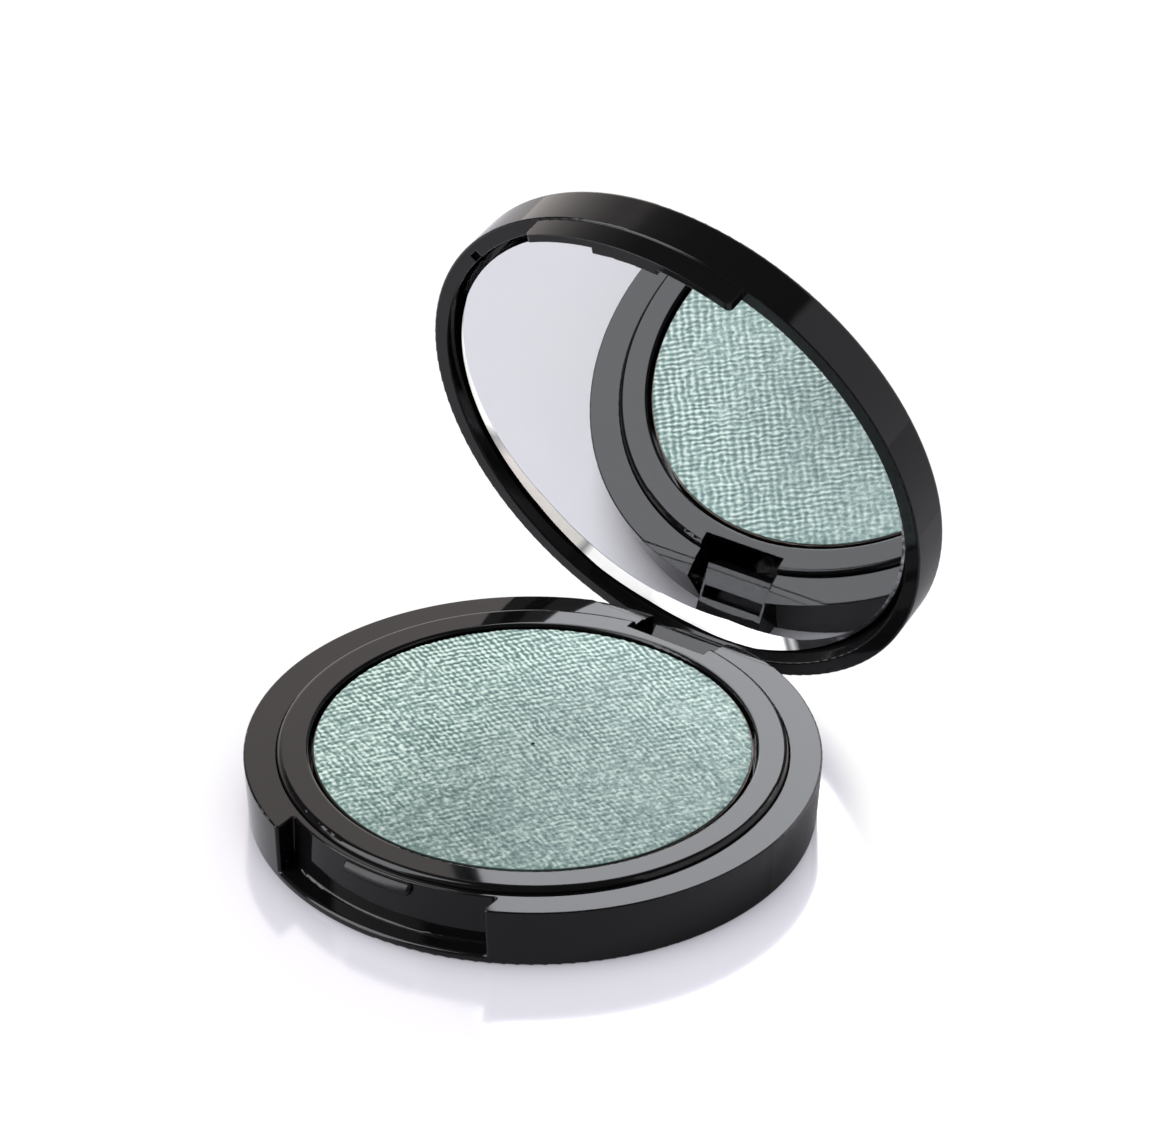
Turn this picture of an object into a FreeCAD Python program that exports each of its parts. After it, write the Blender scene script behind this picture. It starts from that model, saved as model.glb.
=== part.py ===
import FreeCAD, Part
import math
import os

# Round pressed-powder compact, open: a flat base with a raised pan frame and a
# mirrored lid on a rear hinge. Millimetres, +Z up, latch at -Y, hinge at +Y.
# Origin: centre of the base's underside.

# Base shell
BODY_R = 38.0            # outer radius at the parting plane
BASE_FOOT_R = 37.45      # outer radius at the underside, after the mould draft
BASE_H = 8.55            # underside to ledge
FLOOR_T = 1.3            # bottom plate thickness
LEDGE_T = 1.5            # ledge plate thickness
WALL_T = 1.4             # outer wall thickness
LEDGE_INNER_R = 33.7     # edge of the groove round the pan frame
LEDGE_EDGE_ROUND = 0.1   # rounding of the ledge's inner edge
OUTLINE_ROUND = 0.18     # rounding of the ledge's outline
FOOT_ROUND = 0.4         # rounding of the foot

# Latch recess in the front of the base
RECESS_HALF_X = 16.2     # half width
RECESS_BACK_R = 34.72    # radius of its back wall
RECESS_END_T = 1.4       # wall left beyond each end
RECESS_ROUND = 0.3       # fillet inside the recess
MOUTH_ROUND = 0.45       # rounding where the recess breaks through the outer wall
CATCH_X = (-4.9, 5.2)    # ends of the catch rib
CATCH_Z = (6.85, 8.2)    # bottom and top of the catch rib
CATCH_R = 35.45          # radius of the rib's crest
CATCH_ROUND = 0.6        # rounding of the rib
CATCH_ROOT = 0.2         # depth the rib is sunk into the back wall

# Hinge
HINGE_Y = 35.1
HINGE_Z = 3.0
PIN_R = 0.75
PIN_X = (-9.0, 8.75)     # ends of the pin
PIN_CLEAR = 0.05         # radial clearance in the lid's lug
NOTCH_X = (-6.3, 6.05)   # sides of the hinge notch
NOTCH_FLOOR_Z = 0.5
NOTCH_FRONT_Y = 31.0     # front of the notch's window in the frame's top plate
HEEL_POCKET_Y = 29.55    # front of the pocket the lug's heel swings in
HEEL_POCKET_Z = 7.3      # ceiling of that pocket
EAR_T = 3.1              # solid left beside the notch to hold the pin
REAR_CUT_Y = 34.9        # chord behind which the rear of the ledge falls away
REAR_CUT_R = 5.3         # radius of that surface about the hinge axis

# Pan frame
FRAME_OUTER_R = 33.62
FRAME_INNER_R = 29.42
FRAME_TOP_Z = 9.38
FRAME_TOP_T = 1.5
FRAME_WALL_T = 1.0
FRAME_OUTER_ROUND = 0.75
FRAME_INNER_ROUND = 0.5
FRAME_GAP = 0.02         # between the frame's feet and the floor
TRAY_Z = 4.6             # top of the frame's floor under the pan
TRAY_T = 1.0

# Powder pan and cake
ADHESIVE_T = 0.3
ADHESIVE_R = 24.0
PAN_R = 28.9
PAN_T = 0.15
PAN_TOP_Z = 8.8
PAN_FOOT_ROUND = 1.2
CAKE_EDGE_Z = 9.15       # top of the cake at its edge
CAKE_CROWN = 0.3         # rise of the cake from edge to centre
CAKE_EDGE_ROUND = 0.35

# Lid, described closed
LID_GAP = 0.05           # between lid rim and ledge when closed
LID_H = 6.6
LID_R = 38.3             # outer radius at the rim, a little proud of the base
LID_BACK_R = 38.0
LID_RIM_W = 2.2          # width of the flat rim
LID_FLOOR_T = 2.4
RIM_EDGE_ROUND = 0.25
LID_BACK_ROUND = 0.7
MIRROR_SINK = 1.55       # rim face to mirror
MIRROR_R = 35.3
MIRROR_WELL_R = 35.6     # radius of the well at the mirror
MIRROR_T = 1.9
BEVEL_W = 2.6            # width of the ground bevel
BEVEL_D = 0.22           # depth of the ground bevel
TAPE_T = 0.7
TAPE_R = 31.0
RIM_PIT = (-27.8, -23.9, 0.55, 0.9, 0.6)  # centre x, centre y, half size, half size, depth

# Lid tongue
TONGUE_HALF_X = 15.95
TONGUE_LEN = 3.35        # rim face to tongue end
TONGUE_OUTER_R = 38.05
TONGUE_INNER_R = 36.9
TONGUE_ROUND = 0.9       # rounding of its free corners
HOOK_X = (-5.0, 5.1)
HOOK_R = 35.75           # radius of the hook rib's crest
HOOK_H = 0.95
HOOK_ROUND = 0.3

# Lid hinge lug, described closed
LUG_X = (-4.2, 5.9)
KNUCKLE_R = 2.35
LUG_REAR_Y = 37.2
HEEL_TOP = (29.75, 4.0)     # y, z of the heel's upper edge
HEEL_BOTTOM = (31.2, 1.75)  # y, z of the heel's lower edge
LUG_ROOT = (34.5, 8.6)      # y, z where the lug's front face meets the rim plane
LUG_ROOT_TOP = (35.7, 9.6)  # y, z where the root runs into the lid's wall, below the mirror
# Cuts in the lug's front face: start and end along the face from the heel's upper
# edge, side wall left at each end, depth.
LUG_SEAM = (0.68, 0.82, -0.1, 0.15)
LUG_POCKET = (3.05, 4.75, 0.4, 2.4)

# Pose
OPEN_DEG = 76.0          # lid angle from closed in the modelled pose

# Construction sizes
FAR = 60.0               # larger than the whole object
REACH = 3.0              # overshoot of a cutting tool past a face
TINY = 0.001             # two sizes closer than this are the same


def vec(x, y, z):
    return FreeCAD.Vector(x, y, z)


def rounded_wire(points):
    """Closed wire through points (u, v, rounding) in the XZ plane."""
    count = len(points)
    starts = []
    ends = []
    mids = []
    for i in range(count):
        here = vec(points[i][0], 0, points[i][1])
        before = points[i - 1]
        after = points[(i + 1) % count]
        back = vec(before[0], 0, before[1]).sub(here).normalize()
        ahead = vec(after[0], 0, after[1]).sub(here).normalize()
        radius = points[i][2]
        if radius == 0:
            starts.append(here)
            ends.append(here)
            mids.append(None)
            continue
        half = back.getAngle(ahead) / 2
        reach = radius / math.tan(half)
        starts.append(here.add(vec(back.x, 0, back.z).multiply(reach)))
        ends.append(here.add(vec(ahead.x, 0, ahead.z).multiply(reach)))
        middle = back.add(ahead).normalize()
        mids.append(here.add(middle.multiply(radius / math.sin(half) - radius)))
    edges = []
    for i in range(count):
        if mids[i] is not None:
            edges.append(Part.Arc(starts[i], mids[i], ends[i]).toShape())
        following = starts[(i + 1) % count]
        if ends[i].distanceToPoint(following) > TINY:
            edges.append(Part.makeLine(ends[i], following))
    return Part.Wire(edges)


def turned(points):
    """Solid of revolution about Z from points (r, z, rounding)."""
    face = Part.Face(rounded_wire(points))
    return face.revolve(vec(0, 0, 0), vec(0, 0, 1), 360)


def box(x0, x1, y0, y1, z0, z1):
    return Part.makeBox(x1 - x0, y1 - y0, z1 - z0, vec(x0, y0, z0))


def rod(x0, x1, y, z, radius):
    """Cylinder along X."""
    return Part.makeCylinder(radius, x1 - x0, vec(x0, y, z), vec(1, 0, 0))


def ring(r0, r1, z0, z1):
    outer = Part.makeCylinder(r1, z1 - z0, vec(0, 0, z0))
    return outer.cut(Part.makeCylinder(r0, z1 - z0, vec(0, 0, z0)))


def rib(x0, x1, r_root, r_crest, z0, z1, rounding):
    """Rib on a front wall, cut from a ring and rounded along its crest and ends."""
    inner = min(r_root, r_crest)
    outer = max(r_root, r_crest)
    band = ring(inner, outer, z0, z1)
    span = band.common(box(x0, x1, -FAR, 0, z0, z1))
    crest = []
    for edge in span.Edges:
        at = edge.valueAt((edge.FirstParameter + edge.LastParameter) / 2)
        if abs(math.hypot(at.x, at.y) - r_crest) < TINY:
            crest.append(edge)
    return span.makeFillet(rounding, crest)


def base_body():
    """Shell before the latch recess and the hinge notch."""
    ledge_z = BASE_H
    outer = turned([
        (0, 0, 0),
        (BASE_FOOT_R, 0, FOOT_ROUND),
        (BODY_R, ledge_z, 0),
        (LEDGE_INNER_R, ledge_z, LEDGE_EDGE_ROUND),
        (LEDGE_INNER_R, FLOOR_T, 0),
        (0, FLOOR_T, 0),
    ])
    hollow = ring(LEDGE_INNER_R, BASE_FOOT_R - WALL_T, FLOOR_T, ledge_z - LEDGE_T)
    latch_x = RECESS_HALF_X + RECESS_END_T
    hollow = hollow.cut(box(-latch_x, latch_x, -FAR, 0, 0, FAR))
    hollow = hollow.cut(box(NOTCH_X[0] - EAR_T, NOTCH_X[1] + EAR_T, 0, FAR, 0, FAR))
    return outer.cut(hollow)


def edge_middle(edge):
    return edge.valueAt((edge.FirstParameter + edge.LastParameter) / 2)


def latch_recess():
    """Volume of the recess the lid's tongue drops into, filleted below and behind."""
    top = BASE_H + REACH
    recess = ring(RECESS_BACK_R, FAR, FLOOR_T, top)
    recess = recess.common(box(-RECESS_HALF_X, RECESS_HALF_X, -FAR, 0, FLOOR_T, top))
    found = []
    for edge in recess.Edges:
        middle = edge_middle(edge)
        radius = math.hypot(middle.x, middle.y)
        low = abs(middle.z - FLOOR_T) < TINY
        behind = abs(radius - RECESS_BACK_R) < TINY
        upright = FLOOR_T + TINY < middle.z < top - TINY
        if low and radius < FAR - TINY:
            found.append(edge)
        if upright and behind:
            found.append(edge)
    return recess.makeFillet(RECESS_ROUND, found)


def hinge_notch():
    """Volume the lid's lug swings in, open to the rear."""
    pocket = box(*NOTCH_X, HEEL_POCKET_Y, FAR, NOTCH_FLOOR_Z, HEEL_POCKET_Z)
    window = box(*NOTCH_X, NOTCH_FRONT_Y, FAR, NOTCH_FLOOR_Z, BASE_H + REACH)
    return pocket.fuse(window)


def rear_cut():
    """Ledge behind the chord, down to a surface round the hinge axis."""
    top = BASE_H + REACH
    block = box(-FAR, FAR, REAR_CUT_Y, FAR, HINGE_Z, top)
    return block.cut(rod(-FAR, FAR, HINGE_Y, HINGE_Z, REAR_CUT_R))


def mouth_edges(shell):
    """Edges where the recess breaks through the outer wall."""
    found = []
    for edge in shell.Edges:
        middle = edge_middle(edge)
        radius = math.hypot(middle.x, middle.y)
        wall_r = BASE_FOOT_R + (BODY_R - BASE_FOOT_R) * middle.z / BASE_H
        in_front = middle.y < 0 and abs(middle.x) < RECESS_HALF_X + TINY
        between = FLOOR_T - TINY < middle.z < BASE_H - TINY
        if in_front and between and abs(radius - wall_r) < REACH * TINY:
            found.append(edge)
    return found


def outline_edges(shell):
    """Closed outline of the ledge: its outer edge and the top of the recess walls."""
    found = []
    for edge in shell.Edges:
        start = edge.valueAt(edge.FirstParameter)
        end = edge.valueAt(edge.LastParameter)
        middle = edge_middle(edge)
        level = max(abs(at.z - BASE_H) for at in (start, middle, end)) < TINY
        radius = math.hypot(middle.x, middle.y)
        if level and radius > (LEDGE_INNER_R + RECESS_BACK_R) / 2:
            found.append(edge)
    return found


def base_shell():
    shell = base_body()
    shell = shell.cut(latch_recess())
    shell = shell.makeFillet(MOUTH_ROUND, mouth_edges(shell))
    shell = shell.makeFillet(OUTLINE_ROUND, outline_edges(shell))
    shell = shell.cut(hinge_notch())
    shell = shell.cut(rear_cut())
    shell = shell.cut(rod(PIN_X[0], PIN_X[1], HINGE_Y, HINGE_Z, PIN_R))
    catch = rib(*CATCH_X, RECESS_BACK_R - CATCH_ROOT, CATCH_R, *CATCH_Z, CATCH_ROUND)
    return shell.fuse(catch).removeSplitter()


def pan_frame():
    """Raised ring, an inverted channel, round the floor the pan is stuck to."""
    foot = FLOOR_T + FRAME_GAP
    under = FRAME_TOP_Z - FRAME_TOP_T
    frame = turned([
        (0, TRAY_Z - TRAY_T, 0),
        (FRAME_INNER_R, TRAY_Z - TRAY_T, 0),
        (FRAME_INNER_R, foot, 0),
        (FRAME_INNER_R + FRAME_WALL_T, foot, 0),
        (FRAME_INNER_R + FRAME_WALL_T, under, 0),
        (FRAME_OUTER_R - FRAME_WALL_T, under, 0),
        (FRAME_OUTER_R - FRAME_WALL_T, foot, 0),
        (FRAME_OUTER_R, foot, 0),
        (FRAME_OUTER_R, FRAME_TOP_Z, FRAME_OUTER_ROUND),
        (FRAME_INNER_R, FRAME_TOP_Z, FRAME_INNER_ROUND),
        (FRAME_INNER_R, TRAY_Z, 0),
        (0, TRAY_Z, 0),
    ])
    return frame.cut(hinge_notch())


def pan_adhesive():
    return Part.makeCylinder(ADHESIVE_R, ADHESIVE_T, vec(0, 0, TRAY_Z))


def powder_pan():
    foot = TRAY_Z + ADHESIVE_T
    return turned([
        (0, foot, 0),
        (PAN_R, foot, PAN_FOOT_ROUND),
        (PAN_R, PAN_TOP_Z, 0),
        (PAN_R - PAN_T, PAN_TOP_Z, 0),
        (PAN_R - PAN_T, foot + PAN_T, PAN_FOOT_ROUND - PAN_T),
        (0, foot + PAN_T, 0),
    ])


def powder_cake():
    foot = TRAY_Z + ADHESIVE_T + PAN_T
    radius = PAN_R - PAN_T
    return turned([
        (0, foot, 0),
        (radius, foot, PAN_FOOT_ROUND - PAN_T),
        (radius, CAKE_EDGE_Z, CAKE_EDGE_ROUND),
        (0, CAKE_EDGE_Z + CAKE_CROWN, 0),
    ])


def hinge_pin():
    return rod(PIN_X[0], PIN_X[1], HINGE_Y, HINGE_Z, PIN_R)


def rim_z():
    return BASE_H + LID_GAP


def lid_body():
    """Lid cup with its well for the mirror."""
    rim = rim_z()
    back = rim + LID_H
    floor = back - LID_FLOOR_T
    inner = LID_R - LID_RIM_W
    return turned([
        (0, back, 0),
        (LID_BACK_R, back, LID_BACK_ROUND),
        (LID_R, rim, RIM_EDGE_ROUND),
        (inner, rim, RIM_EDGE_ROUND),
        (MIRROR_WELL_R, rim + MIRROR_SINK, 0),
        (MIRROR_WELL_R, floor, 0),
        (0, floor, 0),
    ])


def lid_tongue():
    """Short skirt that drops into the recess, with a hook rib inside."""
    rim = rim_z()
    low = rim - TONGUE_LEN
    band = ring(TONGUE_INNER_R, TONGUE_OUTER_R, low, rim + RIM_EDGE_ROUND)
    shape = rounded_wire([
        (-TONGUE_HALF_X, low, TONGUE_ROUND),
        (TONGUE_HALF_X, low, TONGUE_ROUND),
        (TONGUE_HALF_X, rim + RIM_EDGE_ROUND, 0),
        (-TONGUE_HALF_X, rim + RIM_EDGE_ROUND, 0),
    ])
    outline = Part.Face(shape).extrude(vec(0, -FAR, 0))
    hook_root = TONGUE_INNER_R + RIM_EDGE_ROUND
    hook = rib(*HOOK_X, hook_root, HOOK_R, low, low + HOOK_H, HOOK_ROUND)
    return band.common(outline).fuse(hook)


def lid_lug():
    """Hinge lug with the heel that swings up into the notch."""
    outline = [
        HEEL_TOP,
        LUG_ROOT,
        LUG_ROOT_TOP,
        (LUG_REAR_Y, LUG_ROOT_TOP[1]),
        (LUG_REAR_Y, HINGE_Z),
        (HINGE_Y, HINGE_Z - KNUCKLE_R),
        HEEL_BOTTOM,
        HEEL_TOP,
    ]
    corners = [vec(LUG_X[0], y, z) for y, z in outline]
    face = Part.Face(Part.makePolygon(corners))
    lug = face.extrude(vec(LUG_X[1] - LUG_X[0], 0, 0))
    lug = lug.fuse(rod(*LUG_X, HINGE_Y, HINGE_Z, KNUCKLE_R))
    slope = math.degrees(math.atan2(LUG_ROOT[1] - HEEL_TOP[1], LUG_ROOT[0] - HEEL_TOP[0]))
    for start, end, side, depth in (LUG_SEAM, LUG_POCKET):
        cutter = box(LUG_X[0] + side, LUG_X[1] - side, start, end, -depth, REACH)
        cutter.translate(vec(0, *HEEL_TOP))
        cutter.rotate(vec(0, *HEEL_TOP), vec(1, 0, 0), slope)
        lug = lug.cut(cutter)
    return lug


def lid_shell():
    rim = rim_z()
    shell = lid_body().fuse(lid_tongue()).fuse(lid_lug())
    shell = shell.cut(rod(*NOTCH_X, HINGE_Y, HINGE_Z, PIN_R + PIN_CLEAR))
    x, y, half_x, half_y, depth = RIM_PIT
    pit = box(x - half_x, x + half_x, y - half_y, y + half_y, rim - REACH, rim + depth)
    turn = math.degrees(math.atan2(y, x))
    pit.rotate(vec(x, y, 0), vec(0, 0, 1), turn)
    return shell.cut(pit).removeSplitter()


def mirror_plate():
    front = rim_z() + MIRROR_SINK
    return turned([
        (0, front, 0),
        (MIRROR_R - BEVEL_W, front, 0),
        (MIRROR_R, front + BEVEL_D, 0),
        (MIRROR_R, front + MIRROR_T, 0),
        (0, front + MIRROR_T, 0),
    ])


def mirror_adhesive():
    back = rim_z() + MIRROR_SINK + MIRROR_T
    return Part.makeCylinder(TAPE_R, TAPE_T, vec(0, 0, back))


def opened(shape):
    """Turn a closed-lid shape to the open pose."""
    shape.rotate(vec(0, HINGE_Y, HINGE_Z), vec(1, 0, 0), -OPEN_DEG)
    return shape


def main():
    os.makedirs("parts", exist_ok=True)
    pieces = {
        "base_shell": base_shell(),
        "pan_frame": pan_frame(),
        "pan_adhesive": pan_adhesive(),
        "powder_pan": powder_pan(),
        "powder_cake": powder_cake(),
        "hinge_pin": hinge_pin(),
        "lid_shell": opened(lid_shell()),
        "mirror_plate": opened(mirror_plate()),
        "mirror_adhesive": opened(mirror_adhesive()),
    }
    for name, shape in pieces.items():
        solid = shape.Solids[0] if len(shape.Solids) == 1 else shape
        solid.exportStep("parts/" + name + ".step")
        print(name, len(shape.Solids), shape.isValid(), round(shape.Volume, 1))


main()
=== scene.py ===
import math

import bpy
import numpy as np
from mathutils import Matrix, Vector

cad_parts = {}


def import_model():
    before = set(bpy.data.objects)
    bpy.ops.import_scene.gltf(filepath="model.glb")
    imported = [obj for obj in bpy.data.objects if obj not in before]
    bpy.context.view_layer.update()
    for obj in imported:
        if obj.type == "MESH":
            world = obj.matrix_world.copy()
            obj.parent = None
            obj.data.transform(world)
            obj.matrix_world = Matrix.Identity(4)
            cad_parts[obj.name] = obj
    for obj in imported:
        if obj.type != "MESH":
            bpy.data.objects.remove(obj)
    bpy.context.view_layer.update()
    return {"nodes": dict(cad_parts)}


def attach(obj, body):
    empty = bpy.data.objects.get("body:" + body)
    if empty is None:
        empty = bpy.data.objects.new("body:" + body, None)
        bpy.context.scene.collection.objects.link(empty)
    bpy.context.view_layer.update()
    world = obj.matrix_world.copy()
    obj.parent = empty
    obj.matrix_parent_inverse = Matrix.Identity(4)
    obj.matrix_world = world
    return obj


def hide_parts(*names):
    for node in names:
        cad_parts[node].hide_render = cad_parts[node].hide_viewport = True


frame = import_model()
nodes = frame["nodes"]
scene = bpy.context.scene
MM = 0.001

# ---------------------------------------------------------------- lid and mirror, mm
HINGE = (35.1, 3.0)              # y, z of the hinge axis
OPEN = math.radians(76.0)        # how far the lid is modelled from closed
POLE_R = 0.02                    # radius of the last ring of a round face, at its middle
MIRROR_Z = 10.15                 # mirror face, closed
MIRROR_R = 34.8
MIRROR_T = 1.9
MIRROR_TILT = (0.00796, 0.0170)  # the glass sits a little askew in the lid: dz/dx, dz/dy
MIRROR_AROUND = 720
MIRROR_FACE_RINGS = (POLE_R, 12.0, 24.0, 30.0)
MIRROR_SIDE_DEPTHS = (0.06, 1.0, MIRROR_T)

# Ground band round the glass: inner radius, and how strongly its outer edge is drawn
# towards the wall of the lid and up it, against the angle in degrees from +X (the hinge
# is at 90).
BAND_INNER = ((0, 34.5), (50, 34.2), (64, 33.8), (70, 33.2), (77, 32.6), (85, 31.8),
              (97, 32.0), (112, 32.2), (140, 32.1), (160, 33.1), (180, 34.0), (205, 34.75),
              (360, 34.5))
BAND_LIFT = ((0, 0.0), (45, 0.0), (65, 0.9), (78, 1.4), (88, 1.1), (96, 0.7), (107, 0.45),
             (120, 0.6), (130, 0.3), (140, 0.0), (360, 0.0))
BAND_DEPTH = 0.215               # of the outer edge behind the face where it isn't lifted
BAND_RISE = 0.71316              # how far one unit of lift raises that edge
BAND_SPREAD = 0.35               # and how far it moves the edge outwards
BAND_STEPS = 10
BAND_GAP = 0.05                  # between that edge and the first ring of the side
# Its colour, with light and shade painted into the frosted part, and the share of it that is
# frosted rather than polished, against that angle.
BAND_LOOK_AND_LIGHT = ((0, 0.10, 0.10, 0.11, 0.0), (65, 0.10, 0.10, 0.11, 0.15),
             (67, 0.80, 0.80, 0.80, 0.5), (68.5, 0.20, 0.20, 0.20, 0.5),
             (70, 0.99, 0.99, 0.99, 1.0), (103, 0.99, 0.99, 0.99, 1.0),
             (107, 0.74, 0.73, 0.72, 1.0), (124, 0.66, 0.65, 0.64, 1.0),
             (126, 0.20, 0.20, 0.20, 0.9), (128, 0.45, 0.43, 0.40, 1.0),
             (154, 0.50, 0.46, 0.44, 1.0), (160, 0.40, 0.40, 0.40, 0.6),
             (164, 0.74, 0.74, 0.71, 0.9), (190, 0.76, 0.76, 0.74, 0.8),
             (204, 0.76, 0.76, 0.76, 0.0), (360, 0.10, 0.10, 0.11, 0.0))
BAND_LINE = (105, 162)           # angles between which its inner edge is a dark line
BAND_LINE_LOOK = (0.10, 0.12, 0.15, 1.0)
BAND_PAINTED_GLOW = 0.35                 # painted glow that lifts the frosted glass to white, though no light comes from it
BAND_DIMMED = 0.35               # share of the band's painted brightness seen in the reflections of other surfaces

# Pocket in the front face of the lid's hinge lug, closed: where the face starts, its
# direction, and the pocket's extent across, along and into it. Inside it the plastic is painted
# dark, as shade.
LUG_FACE_START = (0.85, 29.75, 4.0)
LUG_FACE_ALONG = (0, 4.75, 4.6)
LUG_POCKET_X = (-4.68, 4.68)
LUG_POCKET_ALONG = (3.0, 4.8)
LUG_POCKET_DEPTH = (0.2, 2.6)
LUG_POCKET_SOFT = 0.03

# ---------------------------------------------------------------- powder, mm
CAKE_R = 28.73
CAKE_EDGE_Z = 9.15
CAKE_FOOT_Z = 5.05
CAKE_CROWN = 0.30                # how much higher the middle stands
CAKE_SLOPE_W = 1.3               # width and depth of the worn slope at the cake's edge
CAKE_SLOPE_D = 0.13
CAKE_RINGS = 300
CAKE_AROUND = 1500
CAKE_SIDE_RINGS = 6
WEAVE_DEPTH = 0.09
# The two sets of ridges: wave vector in cycles per mm, and height as a share of the depth.
WEAVE = {"rows": (0.76, -0.532, 0.235), "diagonals": (0.555, 1.09, 0.25)}
WEAVE_CLEAR = (0.74, -0.014, 0.010)          # how clear they are: in the middle, per mm x and y
WEAVE_CLEAR_LIMITS = (0.4, 1.2)
WEAVE_TOP = 1.1
# What disturbs the weave: strength, wavelength in mm, shift in x and y, seed.
DISTURBANCES = {
    "bend_x": (0.24, 4.0, 31, 17, 3),
    "shiver_x": (0.21, 1.0, 0, 0, 4),
    "bend_y": (0.24, 4.0, 71, 57, 5),
    "shiver_y": (0.21, 1.0, 0, 0, 6),
    "clear": (0.18, 6.0, 5, 9, 7),
    "rows": (0.5, 3.5, 11, 3, 11),
    "diagonals": (0.6, 3.5, 43, 29, 12),
    "grain": (0.25, 0.5, 0, 0, 8),
    "fine_grain": (0.20, 0.25, 0, 0, 9),
    "broad": (0.05, 7.0, 0, 0, 10),
}
# Colour against weave height: the powder's teal, with painted shade in the pits and a painted
# highlight on the crowns.
POWDER_STOPS = ((0.12, (0.052, 0.108, 0.100)), (0.50, (0.185, 0.268, 0.242)),
                (0.88, (0.47, 0.56, 0.51)))
POWDER_PAINTED_LIGHT = (0.82, 0.42, 0.22)            # painted light on the powder: everywhere, added at the left, added at the back
POWDER_SHADE_START = 4.0                     # x left of which, and y behind which, they grow
POWDER_SHADE_WIDTH = (24.0, 20.0)            # over which the left's and the back's do
WEAVE_IN_MIRROR = 0.62                       # share of the painted weave highlight and shade, and of the powder's painted light, left in reflections
COLOR_IN_MIRROR = 0.95

# ---------------------------------------------------------------- catch rib, mm
# Its section in the latch recess as radius and height, the point it shrinks to at its
# ends and how far, its ends in x, and the length over which it rounds off.
CATCH_SECTION = ((34.60, 8.42), (34.96, 8.40), (35.20, 8.28), (35.42, 8.05), (35.57, 7.77),
                 (35.66, 7.48), (35.70, 7.22), (35.66, 7.04), (35.55, 6.92), (35.38, 6.84),
                 (34.60, 6.80))
CATCH_CORE = (34.60, 7.60)
CATCH_END_SIZE = 0.02
CATCH_X = (-5.05, 5.35)
CATCH_END_ROUND = 0.45
CATCH_STEPS = 64

# ---------------------------------------------------------------- plastic
PLASTIC_COLOR = (0.002, 0.002, 0.0022)
PLASTIC_IOR = 1.30
PLASTIC_EDGE = 0.00018           # radius that edges are shaded with, m

# ---------------------------------------------------------------- studio
KEY_DIRECTION = (-0.521, -0.665, 0.534)
KEY_HALF_SIZE = (0.36, 0.66)
KEY_SOFT = 0.05
KEY_COLOR = (7.9, 8.0, 8.2)
# Backdrop brightness against height minus depth of a direction, on the left.
BACKDROP_RAMP = ((-0.60, 1.80), (-0.39, 1.55), (-0.21, 1.20), (-0.05, 0.85),
                 (0.10, 0.45), (0.25, 0.22), (0.40, 0.0))
BACKDROP_TINT = (1.0, 0.94, 0.90)
BACKDROP_SIDE = (0.3, 0.1)       # x of a direction at which it has gone, and is full
WARM_DIRECTION = (-0.479, 0.68, 0.553)
WARM_HALF_SIZE = (0.20, 0.20)
WARM_SOFT = 0.06
WARM_COLOR = (0.48, 0.44, 0.41)
# Panel at the back right: x and y of a direction between which it comes in, its upper edge.
COOL_SIDE = (0.1, 0.3)
COOL_BACK = (-0.3, 0.1)
COOL_TOP = (0.76, 0.73)
COOL_COLOR = (1.13, 1.13, 1.20)
CEILING_COLOR = (0.16, 0.145, 0.15)
WORLD_MAP_RESOLUTION = 512

# ---------------------------------------------------------------- floor, m
FLOOR_HALF_SIZE = 3.0
FLOOR_VARIATION = 1.01           # how much brighter its brightest places are
# As the camera sees it: its glow inside the painted image of the case and beyond it, and near
# the case a little matt and a little gloss as well.
FLOOR_GLOW = (0.650, 0.637, 0.707)
FLOOR_FAR_GLOW = (1.03, 1.03, 1.03)
FLOOR_SHADE = 0.08
FLOOR_GLOSS = 0.17
FLOOR_ROUGHNESS = 0.14
FLOOR_IMAGE_SHIFT = (0.00738, -0.01052)      # how far the painted image of the case in the floor reaches
FLOOR_IMAGE_R = (0.0385, 0.0455)             # where that image starts to fade, and ends
FLOOR_CONTACT_R = 0.0371                     # radius of the foot the case stands on
FLOOR_CONTACT = (0.50, 0.0024)               # shade at the foot, and how far it reaches
# As the other surfaces see it.
FLOOR_PLAIN = (0.61, 0.61, 0.635)
FLOOR_SHEEN = 0.75               # mirror strength seen edge on
FLOOR_SHEEN_POWER = 5.0
FLOOR_SHEEN_ROUGHNESS = 0.15

# ---------------------------------------------------------------- camera
CAMERA_AZIMUTH = 35.0745         # of its place seen from the middle of the case, degrees
CAMERA_ELEVATION = 33.6468
CAMERA_DISTANCE = 0.92323        # m
CAMERA_YAW = 0.33685             # of its aim away from that middle, degrees
CAMERA_PITCH = -1.87712
CAMERA_ROLL = -0.11799
CAMERA_SENSOR = 36.0             # width, mm
CAMERA_LENS = 219.32115          # mm


# ---------------------------------------------------------------- mesh helpers
def ring_object(name, points, flip=False, smooth=True):
    """Quads between closed rings of points in mm, shape (rings, points of a ring, 3)."""
    rows, cols, _ = points.shape
    r = np.arange(rows - 1)[:, None]
    c = np.arange(cols)[None, :]
    after = (c + 1) % cols
    corners = [r * cols + c, r * cols + after, (r + 1) * cols + after, (r + 1) * cols + c]
    quads = np.stack(corners, axis=-1).reshape(-1, 4)
    if flip:
        quads = quads[:, ::-1]
    mesh = bpy.data.meshes.new(name)
    mesh.vertices.add(rows * cols)
    mesh.vertices.foreach_set("co", (points * MM).reshape(-1).astype(np.float32))
    mesh.loops.add(quads.size)
    mesh.loops.foreach_set("vertex_index", quads.reshape(-1).astype(np.int32))
    mesh.polygons.add(len(quads))
    mesh.polygons.foreach_set("loop_start", np.arange(0, quads.size, 4, dtype=np.int32))
    mesh.polygons.foreach_set("loop_total", np.full(len(quads), 4, dtype=np.int32))
    mesh.polygons.foreach_set("use_smooth", np.full(len(quads), smooth))
    mesh.update(calc_edges=True)
    mesh.validate()
    obj = bpy.data.objects.new(name, mesh)
    scene.collection.objects.link(obj)
    return obj


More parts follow.
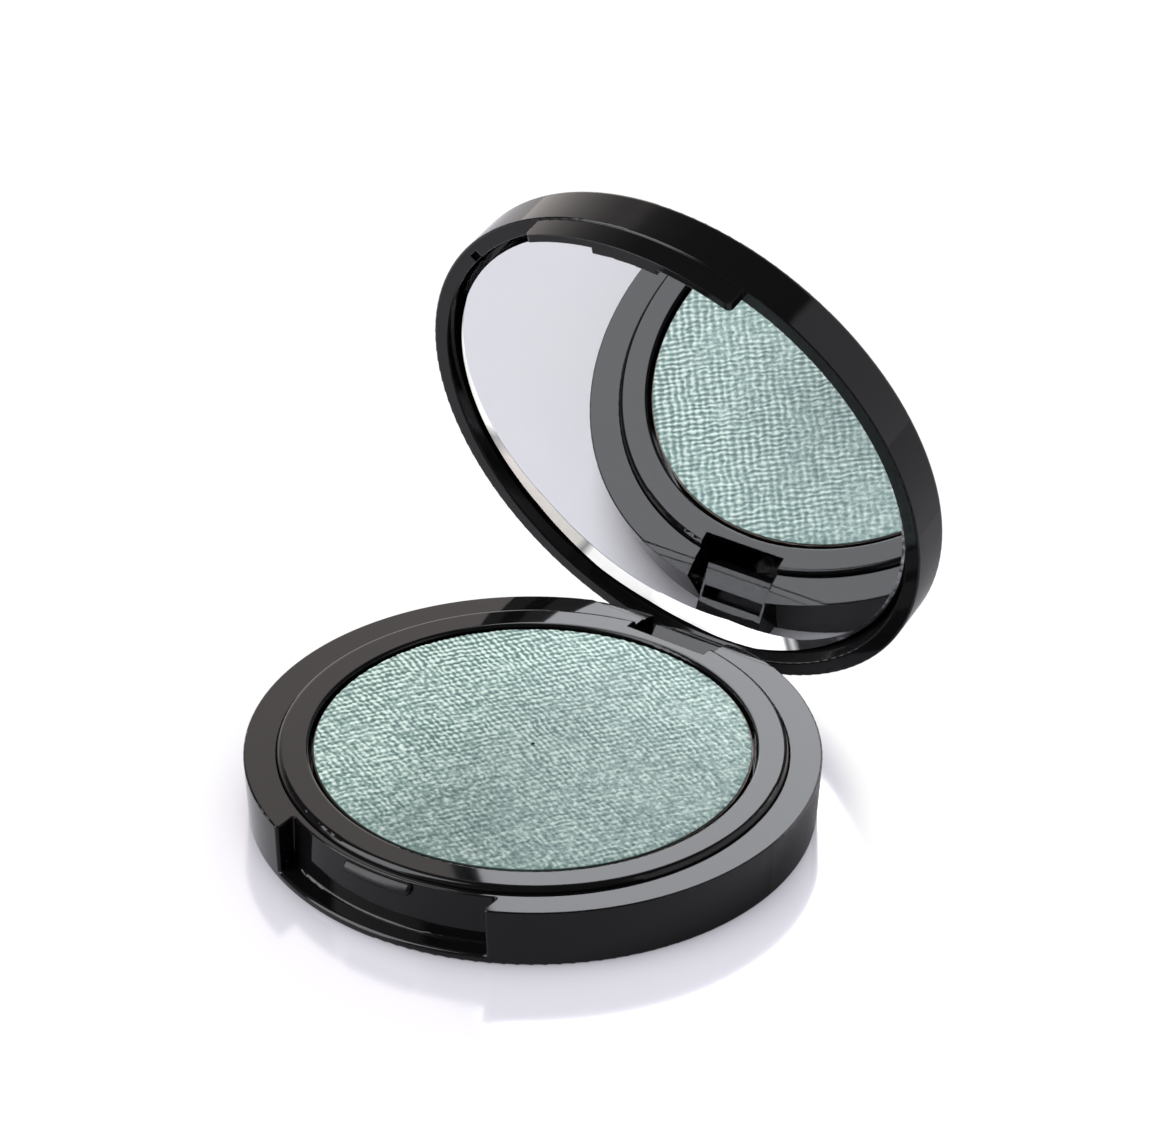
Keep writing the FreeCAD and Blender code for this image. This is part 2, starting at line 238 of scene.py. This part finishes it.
def store_values(obj, name, values):
    """One number or one colour with alpha per vertex, for the shaders to read."""
    kind, field = ("FLOAT", "value") if values.ndim == 1 else ("FLOAT_COLOR", "color")
    attribute = obj.data.attributes.new(name, kind, "POINT")
    attribute.data.foreach_set(field, values.astype(np.float32).reshape(-1))


def lid_matrix():
    """Closed lid to the open pose, metres."""
    pivot = Vector((0, *HINGE)) * MM
    turn = Matrix.Rotation(-OPEN, 4, "X")
    return Matrix.Translation(pivot) @ turn @ Matrix.Translation(-pivot)


# ---------------------------------------------------------------- shader helpers
def feed(tree, source, socket):
    """Set an input to a constant, or link it to the output of another node."""
    if isinstance(source, bpy.types.NodeSocket):
        tree.links.new(source, socket)
    else:
        socket.default_value = source


def node(tree, kind, *values, **inputs):
    """New node with its first inputs fed from values and the named ones from inputs."""
    n = tree.nodes.new(kind)
    for slot, value in enumerate(values):
        feed(tree, value, n.inputs[slot])
    for key, value in inputs.items():
        feed(tree, value, n.inputs[key.replace("_", " ")])
    return n


def material(name):
    mat = bpy.data.materials.new(name)
    mat.use_nodes = True
    tree = mat.node_tree
    tree.nodes.clear()
    return mat, tree


def show(tree, shader):
    node(tree, "ShaderNodeOutputMaterial", Surface=shader)


def object_place(tree):
    return tree.nodes.new("ShaderNodeTexCoord").outputs["Object"]


def noise_value(tree, scale, detail=3.0, rough=0.5):
    n = node(tree, "ShaderNodeTexNoise", Vector=object_place(tree), Scale=scale, Detail=detail,
             Roughness=rough)
    return n.outputs["Fac"]


def ramp(tree, source, low, high, from_min=0.3, from_max=0.7):
    n = node(tree, "ShaderNodeMapRange", Value=source, From_Min=from_min, From_Max=from_max,
             To_Min=low, To_Max=high)
    return n.outputs["Result"]


def smooth_step(tree, value, low, high):
    n = node(tree, "ShaderNodeMapRange", Value=value, From_Min=low, From_Max=high)
    n.interpolation_type = "SMOOTHSTEP"
    return n.outputs["Result"]


def mix_color(tree, factor, a, b):
    n = tree.nodes.new("ShaderNodeMix")
    n.data_type = "RGBA"
    factor_input, a_input, b_input = n.inputs[0], n.inputs[6], n.inputs[7]
    feed(tree, factor, factor_input)
    feed(tree, (*a, 1), a_input)
    feed(tree, (*b, 1), b_input)
    return n.outputs[2]


def color_stops(tree, factor, stops):
    """Colour that runs through stops, each a place from 0 to 1 and a colour."""
    n = node(tree, "ShaderNodeValToRGB", Fac=factor)
    elements = n.color_ramp.elements
    while len(elements) < len(stops):
        elements.new(1.0)
    for element, (place, color) in zip(elements, stops):
        element.position = place
        element.color = (*color, 1)
    return n.outputs["Color"]


def math_node(tree, operation, *values, clamp=False):
    n = node(tree, "ShaderNodeMath", *values)
    n.operation = operation
    n.use_clamp = clamp
    return n.outputs["Value"]


def product(tree, first, *others):
    for other in others:
        first = math_node(tree, "MULTIPLY", first, other)
    return first


def length_node(tree, x, y):
    squares = math_node(tree, "ADD", product(tree, x, x), product(tree, y, y))
    return math_node(tree, "SQRT", squares)


def vector_math(tree, operation, a, b):
    n = tree.nodes.new("ShaderNodeVectorMath")
    n.operation = operation
    feed(tree, a, n.inputs[0])
    feed(tree, b, n.inputs["Scale" if operation == "SCALE" else 1])
    return n.outputs["Value" if operation == "DOT_PRODUCT" else "Vector"]


def scaled(tree, color, factor):
    return vector_math(tree, "SCALE", color, factor)


def added(tree, a, b):
    return vector_math(tree, "ADD", a, b)


def dot(tree, vector, axis):
    return vector_math(tree, "DOT_PRODUCT", vector, axis)


def between(tree, value, middle, half, soft):
    """1 where the value is within half of the middle, 0 outside it."""
    away = math_node(tree, "ABSOLUTE", math_node(tree, "SUBTRACT", value, middle))
    return smooth_step(tree, away, half + soft, half - soft)


def attribute_node(tree, name):
    n = tree.nodes.new("ShaderNodeAttribute")
    n.attribute_name = name
    return n


def seen_directly(tree):
    """1 where the camera looks straight at the surface, 0 in reflections and light paths."""
    return tree.nodes.new("ShaderNodeLightPath").outputs["Is Camera Ray"]


def mixed_shader(tree, factor, a, b):
    return node(tree, "ShaderNodeMixShader", factor, a, b).outputs["Shader"]


def added_shader(tree, a, b):
    return node(tree, "ShaderNodeAddShader", a, b).outputs["Shader"]


# ---------------------------------------------------------------- materials
def surface(name, tint, rough, bump, edge=0.0, painted_shade_mask=None, **inputs):
    """Surface whose colour, roughness and relief each follow a noise of their own.

    tint is that noise's scale and two colours, rough its scale and two roughnesses, bump
    its scale, detail, strength and depth in metres. Edges are shaded with the radius edge,
    and where the painted-shade mask it is given is 1 the surface hardly shines, painting it dark.
    """
    mat, tree = material(name)
    scale, *colors = tint
    color = mix_color(tree, ramp(tree, noise_value(tree, scale), 0, 1), *colors)
    scale, low, high = rough
    roughness = ramp(tree, noise_value(tree, scale), low, high)
    scale, detail, strength, depth = bump
    relief = node(tree, "ShaderNodeBump", Strength=strength, Distance=depth,
                  Height=noise_value(tree, scale, detail))
    if edge:
        rounded = node(tree, "ShaderNodeBevel", Radius=edge)
        rounded.samples = 6
        feed(tree, rounded.outputs["Normal"], relief.inputs["Normal"])
    if painted_shade_mask:
        inputs["Specular_IOR_Level"] = ramp(tree, painted_shade_mask(tree), 0.5, 0.05, 0, 1)
    bsdf = node(tree, "ShaderNodeBsdfPrincipled", Base_Color=color, Roughness=roughness,
                Normal=relief.outputs["Normal"], **inputs)
    show(tree, bsdf.outputs["BSDF"])
    return mat


def toned(color, level=0.85):
    return tuple(c * level for c in color)


def gloss_plastic(name, ior=PLASTIC_IOR, rough=0.06, edge=PLASTIC_EDGE, painted_shade_mask=None):
    """Polished plastic; where the painted-shade mask is 1 its shine is cut, painting it dark as
    shade.
    """
    return surface(name, (90.0, PLASTIC_COLOR, toned(PLASTIC_COLOR, 1.5)),
                   (420.0, rough * 0.85, rough * 1.2), (160.0, 2.0, 0.06, 0.00002),
                   edge=edge, painted_shade_mask=painted_shade_mask, IOR=ior)


def metal(name, color, rough):
    return surface(name, (200.0, color, toned(color)), (900.0, rough * 0.8, rough * 1.25),
                   (1500.0, 3.0, 0.1, 0.00002), Metallic=1.0)


def adhesive(name):
    color = (0.7, 0.69, 0.64)
    return surface(name, (300.0, color, toned(color)), (700.0, 0.72, 0.8),
                   (2500.0, 3.0, 0.3, 0.00005))


def mirror_material():
    return surface("mirror", (40.0, (0.86, 0.87, 0.89), (0.88, 0.885, 0.9)),
                   (120.0, 0.0, 0.012), (60.0, 3.0, 0.01, 0.00001), Metallic=1.0)


def bevel_material():
    """Ground edge of the glass: frosted white with light and shade painted in and a painted glow,
    silvery where it is polished.
    """
    mat, tree = material("mirror_bevel")
    look = attribute_node(tree, "ground")
    patchy = ramp(tree, noise_value(tree, 600.0, 4.0, 0.6), 0.93, 1.0)
    # painted light: the band's colour holds its light and shade, and other surfaces see it dimmer
    # than the camera does
    level = product(tree, patchy, ramp(tree, seen_directly(tree), BAND_DIMMED, 1.0, 0, 1))
    shade = scaled(tree, look.outputs["Color"], level)
    diffuse = node(tree, "ShaderNodeBsdfDiffuse", Color=shade)
    # painted glow: the frosted glass gives off light, though it is no lamp
    glow = node(tree, "ShaderNodeEmission", Color=shade, Strength=BAND_PAINTED_GLOW)
    frosted = added_shader(tree, diffuse.outputs["BSDF"], glow.outputs["Emission"])
    streak = ramp(tree, noise_value(tree, 900.0, 4.0, 0.7), 0, 1, 0.42, 0.62)
    bump = node(tree, "ShaderNodeBump", Strength=0.5, Distance=0.0001,
                Height=noise_value(tree, 500.0))
    polished = node(tree, "ShaderNodeBsdfPrincipled", Metallic=1.0, Roughness=0.16,
                    Base_Color=mix_color(tree, streak, (0.10, 0.105, 0.11), (0.55, 0.56, 0.58)),
                    Normal=bump.outputs["Normal"])
    show(tree, mixed_shader(tree, look.outputs["Alpha"], polished.outputs["BSDF"], frosted))
    return mat


def powder_material():
    """Painted highlight on the crowns of the weave and painted shade in its pits; softer and a
    little darker where it is reflected.
    """
    mat, tree = material("powder")
    direct = seen_directly(tree)
    height = math_node(tree, "SUBTRACT", attribute_node(tree, "weave").outputs["Fac"], 0.5)
    crisp = product(tree, height, ramp(tree, direct, WEAVE_IN_MIRROR, 1.0, 0, 1))
    # colour by weave height: painted highlight on the crowns, painted shade in the pits
    tint = color_stops(tree, math_node(tree, "ADD", crisp, 0.5), POWDER_STOPS)
    # the colour is scaled by the powder's painted light, a little less in reflections
    strength = product(tree, attribute_node(tree, "painted_light_on_powder").outputs["Fac"],
                       ramp(tree, direct, COLOR_IN_MIRROR, 1.0, 0, 1))
    bump = node(tree, "ShaderNodeBump", Strength=0.35, Distance=0.00004,
                Height=noise_value(tree, 6000.0, 4.0, 0.7))
    bsdf = node(tree, "ShaderNodeBsdfPrincipled", Metallic=0.05, Specular_IOR_Level=0.32,
                Base_Color=scaled(tree, tint, strength), Normal=bump.outputs["Normal"],
                Roughness=ramp(tree, noise_value(tree, 4000.0), 0.32, 0.5))
    show(tree, bsdf.outputs["BSDF"])
    return mat


def lug_pocket(tree):
    """1 inside the moulded pocket in the lid's hinge lug, where the lid is painted dark as shade,
    0 elsewhere.
    """
    turn = lid_matrix()
    start = turn @ (Vector(LUG_FACE_START) * MM)
    side = Vector((1, 0, 0))
    along = Vector(LUG_FACE_ALONG).normalized()
    masks = []
    for axis, extent in ((side, LUG_POCKET_X), (along, LUG_POCKET_ALONG),
                         (along.cross(side), LUG_POCKET_DEPTH)):
        axis = turn.to_3x3() @ axis
        middle = start.dot(axis) + sum(extent) / 2 * MM
        half = (extent[1] - extent[0]) / 2 * MM
        masks.append(between(tree, dot(tree, object_place(tree), axis), middle, half,
                             LUG_POCKET_SOFT * MM))
    return product(tree, *masks)


# ---------------------------------------------------------------- powder
def eased(t):
    return t * t * (3 - 2 * t)


def hash_noise(x, y, seed):
    """Smooth noise through a table of random values, arrays in, -1..1 out."""
    side = 128
    table = np.random.default_rng(seed).uniform(-1, 1, (side, side))
    column = np.floor(x).astype(int)
    row = np.floor(y).astype(int)
    across = eased(x - column)
    along = eased(y - row)
    left = column % side
    right = (column + 1) % side
    low = row % side
    high = (row + 1) % side
    near = table[left, low] * (1 - across) + table[right, low] * across
    far = table[left, high] * (1 - across) + table[right, high] * across
    return near * (1 - along) + far * along


def disturbance(kind, x, y):
    strength, wavelength, shift_x, shift_y, seed = DISTURBANCES[kind]
    return strength * hash_noise(x / wavelength + shift_x, y / wavelength + shift_y, seed)


def weave_height(x, y):
    """Woven embossing, 0 in the pits to 1 on the crowns."""
    bent_x = x + disturbance("bend_x", x, y) + disturbance("shiver_x", x, y)
    bent_y = y + disturbance("bend_y", x, y) + disturbance("shiver_y", x, y)
    clear = WEAVE_CLEAR[0] + WEAVE_CLEAR[1] * x + WEAVE_CLEAR[2] * y + disturbance("clear", x, y)
    clear = np.clip(clear, *WEAVE_CLEAR_LIMITS)
    height = np.full(x.shape, 0.5)
    for kind, (wave_x, wave_y, share) in WEAVE.items():
        ridges = np.cos(2 * np.pi * (wave_x * bent_x + wave_y * bent_y))
        height += clear * share * (1 + disturbance(kind, x, y)) * ridges
    for kind in ("grain", "fine_grain", "broad"):
        height += disturbance(kind, x, y)
    return np.clip(height, 0, WEAVE_TOP)


def painted_powder_light(x, y):
    """Painted light on the powder: its colour made brighter to the left and towards the hinge."""
    left = eased(np.clip((POWDER_SHADE_START - x) / POWDER_SHADE_WIDTH[0], 0, 1))
    back = np.clip((y - POWDER_SHADE_START) / POWDER_SHADE_WIDTH[1], 0, 1)
    return POWDER_PAINTED_LIGHT[0] + POWDER_PAINTED_LIGHT[1] * left + POWDER_PAINTED_LIGHT[2] * back * (1 - left)


def flat_ring(radius, angle, z):
    return np.stack([radius * np.cos(angle), radius * np.sin(angle),
                     np.full(len(angle), z)], axis=-1)


def powder():
    """The pressed cake: crowned, woven all over and worn to a slope at its edge."""
    # The power sets the rings closer together towards the edge.
    radii = CAKE_R * np.linspace(0.002, 1, CAKE_RINGS) ** 0.75
    angle = np.linspace(0, 2 * np.pi, CAKE_AROUND, endpoint=False)
    radius, turn = np.meshgrid(radii, angle, indexing="ij")
    x = radius * np.cos(turn)
    y = radius * np.sin(turn)
    weave = weave_height(x, y)
    slope = np.clip((CAKE_R - radius) / CAKE_SLOPE_W, 0, 1)
    slope = np.sqrt(1 - (1 - slope) ** 2)
    crown = CAKE_CROWN * (1 - (radius / CAKE_R) ** 2)
    z = CAKE_EDGE_Z - CAKE_SLOPE_D * (1 - slope) + crown + WEAVE_DEPTH * (weave - 1)
    rings = list(np.stack([x, y, z], axis=-1))
    side_top = CAKE_EDGE_Z - CAKE_SLOPE_D - WEAVE_DEPTH
    for height in np.linspace(side_top, CAKE_FOOT_Z, CAKE_SIDE_RINGS):
        rings.append(flat_ring(CAKE_R, angle, height))
    rings.append(flat_ring(POLE_R, angle, CAKE_FOOT_Z))
    obj = ring_object("pressed_powder", np.array(rings))
    values = np.zeros(len(obj.data.vertices))
    values[:weave.size] = np.clip(weave, 0, 1).reshape(-1)
    store_values(obj, "weave", values)
    # painted light on the powder, per vertex
    powder_light_values = np.full(len(obj.data.vertices), POWDER_PAINTED_LIGHT[0])
    powder_light_values[:weave.size] = painted_powder_light(x, y).reshape(-1)
    store_values(obj, "painted_light_on_powder", powder_light_values)
    obj.data.materials.append(powder_material())
    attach(obj, "base")
    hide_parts("powder_cake")


# ---------------------------------------------------------------- mirror
def by_angle(table, degrees, column=1):
    """Value of one column of a table whose first column is an angle."""
    angles = [row[0] for row in table]
    values = [row[column] for row in table]
    return np.interp(degrees, angles, values)


def mirror():
    """Glass disc with its ground band, whose outer edge rises against the lid's wall."""
    angle = np.linspace(0, 2 * np.pi, MIRROR_AROUND, endpoint=False)
    degrees = np.degrees(angle)
    inner = by_angle(BAND_INNER, degrees)
    lift = by_angle(BAND_LIFT, degrees)
    outer = MIRROR_R + BAND_SPREAD * lift
    drop = BAND_DEPTH - BAND_RISE * lift
    everywhere = np.ones(MIRROR_AROUND)
    shape = []                        # rings as radius and depth behind the face
    for radius in MIRROR_FACE_RINGS:
        shape.append((radius * everywhere, 0 * everywhere))
    for t in np.linspace(0, 1, BAND_STEPS + 1):
        shape.append((inner + t * (outer - inner), t * drop))
    for depth in MIRROR_SIDE_DEPTHS:
        shape.append((outer, np.maximum(drop + BAND_GAP, depth)))
    shape.append((POLE_R * everywhere, MIRROR_T * everywhere))
    rings = []
    for radius, depth in shape:
        x = radius * np.cos(angle)
        y = radius * np.sin(angle)
        tilt = MIRROR_TILT[0] * x + MIRROR_TILT[1] * y
        z = MIRROR_Z + depth + tilt * (1 - np.clip(depth / MIRROR_T, 0, 1))
        rings.append(np.stack([x, y, z], axis=-1))
    # The face is exactly flat: smoothed normals would bend its reflection near the band.
    obj = ring_object("mirror", np.array(rings), flip=True, smooth=False)
    obj.data.transform(lid_matrix())
    obj.data.materials.append(mirror_material())
    obj.data.materials.append(bevel_material())
    band_start = len(MIRROR_FACE_RINGS)
    slots = np.zeros(len(obj.data.polygons), np.int32)
    slots[band_start * MIRROR_AROUND:(band_start + BAND_STEPS) * MIRROR_AROUND] = 1
    obj.data.polygons.foreach_set("material_index", slots)
    # colour of the band with its painted light and shade, and its frosted share, per vertex
    look = np.stack([by_angle(BAND_LOOK_AND_LIGHT, degrees, column) for column in (1, 2, 3, 4)], axis=-1)
    look = np.tile(look, (len(rings), 1, 1))
    look[band_start, (degrees > BAND_LINE[0]) & (degrees < BAND_LINE[1])] = BAND_LINE_LOOK
    store_values(obj, "ground", look)
    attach(obj, "lid")
    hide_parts("mirror_plate")


# ---------------------------------------------------------------- case
def catch_rib():
    """Rounded rib the lid's hook snaps over, laid over the plain one of the base."""
    places = 0.5 - 0.5 * np.cos(np.linspace(0, np.pi, CATCH_STEPS))
    x = CATCH_X[0] + places * (CATCH_X[1] - CATCH_X[0])
    to_end = np.minimum(x - CATCH_X[0], CATCH_X[1] - x)
    short = 1 - np.clip(to_end / CATCH_END_ROUND, 0, 1)
    size = CATCH_END_SIZE + (1 - CATCH_END_SIZE) * np.sqrt(np.clip(1 - short ** 2, 0, 1))
    core = np.array(CATCH_CORE)
    section = np.array(CATCH_SECTION)
    rings = []
    for place, scale in zip(x, size):
        turn = math.asin(place / CATCH_CORE[0])
        radius, height = (core + (section - core) * scale).T
        rings.append(np.stack([radius * math.sin(turn), -radius * math.cos(turn), height],
                              axis=-1))
    obj = ring_object("catch_rib", np.array(rings), flip=True)
    obj.data.materials.append(gloss_plastic("catch_gloss_black", ior=1.28, rough=0.25, edge=0.0))
    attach(obj, "base")


def paint_cad():
    looks = {
        "base_shell": gloss_plastic("case_gloss_black"),
        # painted shade: the lid loses its shine inside the lug's pocket
        "lid_shell": gloss_plastic("lid_gloss_black", painted_shade_mask=lug_pocket),
        "pan_frame": gloss_plastic("frame_gloss_black"),
        "powder_pan": metal("pan_tin", (0.10, 0.075, 0.065), 0.5),
        "hinge_pin": metal("pin_steel", (0.5, 0.5, 0.52), 0.25),
        "pan_adhesive": adhesive("adhesive"),
        "mirror_adhesive": adhesive("mirror_tape"),
    }
    for name, mat in looks.items():
        obj = nodes[name]
        obj.data.materials.clear()
        obj.data.materials.append(mat)


# ---------------------------------------------------------------- studio
def window(tree, direction, centre, half_size, soft):
    """1 inside a rectangular panel far away round a centre direction, 0 outside it."""
    axis = Vector(centre).normalized()
    across = Vector((0, 0, 1)).cross(axis).normalized()
    up = axis.cross(across)
    depth = dot(tree, direction, axis)
    ahead = math_node(tree, "MAXIMUM", depth, 0.01)
    result = smooth_step(tree, depth, 0.01, 0.02)
    for tangent, half in zip((across, up), half_size):
        offset = math_node(tree, "DIVIDE", dot(tree, direction, tangent), ahead)
        result = product(tree, result, between(tree, offset, 0.0, half, soft))
    return result


def world():
    """A studio painted by direction.

    The ceiling is dark, the backdrop pale on the left, and there are a large soft key at
    the front left, a warm window at the back left and a cool panel at the back right.
    """
    studio = bpy.data.worlds.new("studio")
    scene.world = studio
    studio.use_nodes = True
    tree = studio.node_tree
    tree.nodes.clear()
    direction = tree.nodes.new("ShaderNodeTexCoord").outputs["Generated"]
    across = dot(tree, direction, (1, 0, 0))
    back = dot(tree, direction, (0, 1, 0))
    height = dot(tree, direction, (0, 0, 1))
    slant = dot(tree, direction, (0, -1, 1))
    low = BACKDROP_RAMP[0][0]
    high = BACKDROP_RAMP[-1][0]
    peak = BACKDROP_RAMP[0][1]
    stops = [((at - low) / (high - low), (level / peak,) * 3) for at, level in BACKDROP_RAMP]
    backdrop = product(tree, color_stops(tree, ramp(tree, slant, 0, 1, low, high), stops),
                       smooth_step(tree, across, *BACKDROP_SIDE))
    warm = window(tree, direction, WARM_DIRECTION, WARM_HALF_SIZE, WARM_SOFT)
    cool = product(tree, smooth_step(tree, across, *COOL_SIDE),
                   smooth_step(tree, height, *COOL_TOP), smooth_step(tree, back, *COOL_BACK))
    key = window(tree, direction, KEY_DIRECTION, KEY_HALF_SIZE, KEY_SOFT)
    total = scaled(tree, tuple(c * peak for c in BACKDROP_TINT), backdrop)
    for factor, color in ((warm, WARM_COLOR), (cool, COOL_COLOR), (key, KEY_COLOR)):
        total = added(tree, total, scaled(tree, color, factor))
    total = added(tree, total, CEILING_COLOR)
    background = node(tree, "ShaderNodeBackground", Color=total, Strength=1.0)
    node(tree, "ShaderNodeOutputWorld", Surface=background.outputs["Background"])
    studio.cycles.sampling_method = "MANUAL"
    studio.cycles.sample_map_resolution = WORLD_MAP_RESOLUTION


def floor_reflected(tree, noise):
    """The floor as the other surfaces see it: matt, and shining edge on."""
    color = mix_color(tree, noise, FLOOR_PLAIN, tuple(c * FLOOR_VARIATION for c in FLOOR_PLAIN))
    flat = node(tree, "ShaderNodeBsdfDiffuse", Color=color)
    facing = tree.nodes.new("ShaderNodeLayerWeight").outputs["Facing"]
    sheen = product(tree, math_node(tree, "POWER", facing, FLOOR_SHEEN_POWER), FLOOR_SHEEN)
    shine = node(tree, "ShaderNodeBsdfGlossy", Roughness=FLOOR_SHEEN_ROUGHNESS)
    return mixed_shader(tree, sheen, flat.outputs["BSDF"], shine.outputs["BSDF"])


def beyond_image(tree, east, north):
    """0 inside the painted soft image of the case in the floor, 1 beyond it.

    The image is the foot's disc swept along FLOOR_IMAGE_SHIFT, towards the camera.
    """
    reach = math.hypot(*FLOOR_IMAGE_SHIFT)
    toward = [shift / reach for shift in FLOOR_IMAGE_SHIFT]
    along = math_node(tree, "ADD", product(tree, east, toward[0]),
                      product(tree, north, toward[1]))
    along = math_node(tree, "MAXIMUM", math_node(tree, "MINIMUM", along, reach), 0.0)
    from_x = math_node(tree, "SUBTRACT", east, product(tree, along, toward[0]))
    from_y = math_node(tree, "SUBTRACT", north, product(tree, along, toward[1]))
    return smooth_step(tree, length_node(tree, from_x, from_y), *FLOOR_IMAGE_R)


def floor_direct(tree, noise):
    """The floor as the camera sees it: an even glow, darker in a painted soft image of the case
    and with painted contact shade at the foot.
    """
    place = node(tree, "ShaderNodeSeparateXYZ", Vector=object_place(tree))
    east = place.outputs["X"]
    north = place.outputs["Y"]
    # painted reflection: the glow is darker within the case's image in the floor
    far = beyond_image(tree, east, north)
    depth, reach = FLOOR_CONTACT
    from_foot = math_node(tree, "SUBTRACT", length_node(tree, east, north), FLOOR_CONTACT_R)
    fading = math_node(tree, "EXPONENT", math_node(tree, "DIVIDE", from_foot, -reach), clamp=True)
    lit_share = math_node(tree, "SUBTRACT", 1.0, product(tree, fading, depth))
    color = scaled(tree, mix_color(tree, far, FLOOR_GLOW, FLOOR_FAR_GLOW), lit_share)
    color = scaled(tree, color, ramp(tree, noise, 1.0, FLOOR_VARIATION, 0, 1))
    glow = node(tree, "ShaderNodeEmission", Color=color)
    black = (0.0, 0.0, 0.0)
    shade = node(tree, "ShaderNodeBsdfDiffuse",
                 Color=mix_color(tree, far, (FLOOR_SHADE,) * 3, black))
    gloss = node(tree, "ShaderNodeBsdfGlossy", Roughness=FLOOR_ROUGHNESS,
                 Color=mix_color(tree, far, (FLOOR_GLOSS,) * 3, black))
    lit = added_shader(tree, glow.outputs["Emission"], shade.outputs["BSDF"])
    return added_shader(tree, lit, gloss.outputs["BSDF"])


def floor():
    mesh = bpy.data.meshes.new("floor")
    s = FLOOR_HALF_SIZE
    mesh.from_pydata([(-s, -s, 0), (s, -s, 0), (s, s, 0), (-s, s, 0)], [], [(0, 1, 2, 3)])
    obj = bpy.data.objects.new("floor", mesh)
    scene.collection.objects.link(obj)
    mat, tree = material("floor")
    noise = ramp(tree, noise_value(tree, 3.0), 0, 1)
    show(tree, mixed_shader(tree, seen_directly(tree), floor_reflected(tree, noise),
                            floor_direct(tree, noise)))
    mesh.materials.append(mat)


def camera():
    azimuth = math.radians(CAMERA_AZIMUTH)
    elevation = math.radians(CAMERA_ELEVATION)
    back = Vector((math.sin(azimuth) * math.cos(elevation),
                   -math.cos(azimuth) * math.cos(elevation), math.sin(elevation)))
    right = Vector((0, 0, 1)).cross(back).normalized()
    turn = Matrix((right, back.cross(right), back))
    for degrees, axis in ((CAMERA_YAW, "Y"), (CAMERA_PITCH, "X"), (CAMERA_ROLL, "Z")):
        turn = Matrix.Rotation(math.radians(degrees), 3, axis) @ turn
    data = bpy.data.cameras.new("camera")
    data.sensor_width = CAMERA_SENSOR
    data.sensor_fit = "HORIZONTAL"
    data.lens = CAMERA_LENS
    data.clip_start = 0.01
    data.clip_end = 50.0
    obj = bpy.data.objects.new("camera", data)
    scene.collection.objects.link(obj)
    place = Matrix.Translation(back * CAMERA_DISTANCE)
    obj.matrix_world = place @ turn.transposed().to_4x4()
    scene.camera = obj


paint_cad()
powder()
mirror()
catch_rib()
floor()
world()
camera()
scene.view_settings.view_transform = "Standard"
scene.cycles.use_denoising = True
